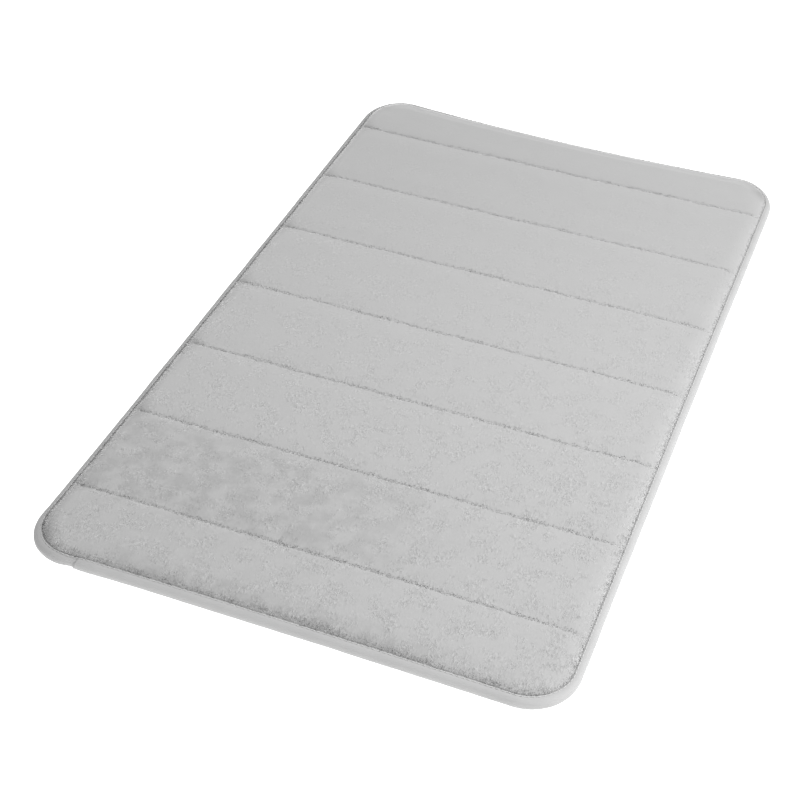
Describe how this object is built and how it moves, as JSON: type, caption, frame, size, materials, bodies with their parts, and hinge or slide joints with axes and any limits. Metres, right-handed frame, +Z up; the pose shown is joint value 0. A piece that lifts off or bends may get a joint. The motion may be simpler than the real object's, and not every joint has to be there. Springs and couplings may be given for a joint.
{
  "type": "quilted memory foam bath mat",
  "caption": "Rounded rectangular bath mat: foam slab under a quilted pile cover, on a non-slip base, with a folded tape stitched round the edge.",
  "frame": {"origin": "on the floor under the middle of the mat, on the non-slip base's underside", "axes": "+Y along the long side to the edge with the narrower end channel, +X along the short side, +Z up through the pile"},
  "size_m": [0.508, 0.864, 0.0205],
  "materials": {
    "pile_fleece": "cut pile, coral-fleece velvet",
    "memory_foam": "open-cell foam",
    "backing_fabric": "knitted backing with raised grip dots",
    "binding_tape": "smooth brushed knit tape",
    "sewing_thread": "spun polyester thread"
  },
  "bodies": {
    "root": {"top_cover": "pile_fleece", "foam_core": "memory_foam", "nonslip_base": "backing_fabric", "edge_binding": "binding_tape", "binding_needle_thread": "sewing_thread", "binding_bobbin_thread": "sewing_thread", "quilt_needle_thread_1": "sewing_thread", "quilt_needle_thread_2": "sewing_thread", "quilt_needle_thread_3": "sewing_thread", "quilt_needle_thread_4": "sewing_thread", "quilt_needle_thread_5": "sewing_thread", "quilt_needle_thread_6": "sewing_thread", "quilt_needle_thread_7": "sewing_thread", "quilt_bobbin_thread_1": "sewing_thread", "quilt_bobbin_thread_2": "sewing_thread", "quilt_bobbin_thread_3": "sewing_thread", "quilt_bobbin_thread_4": "sewing_thread", "quilt_bobbin_thread_5": "sewing_thread", "quilt_bobbin_thread_6": "sewing_thread", "quilt_bobbin_thread_7": "sewing_thread"}
  },
  "joints": []
}
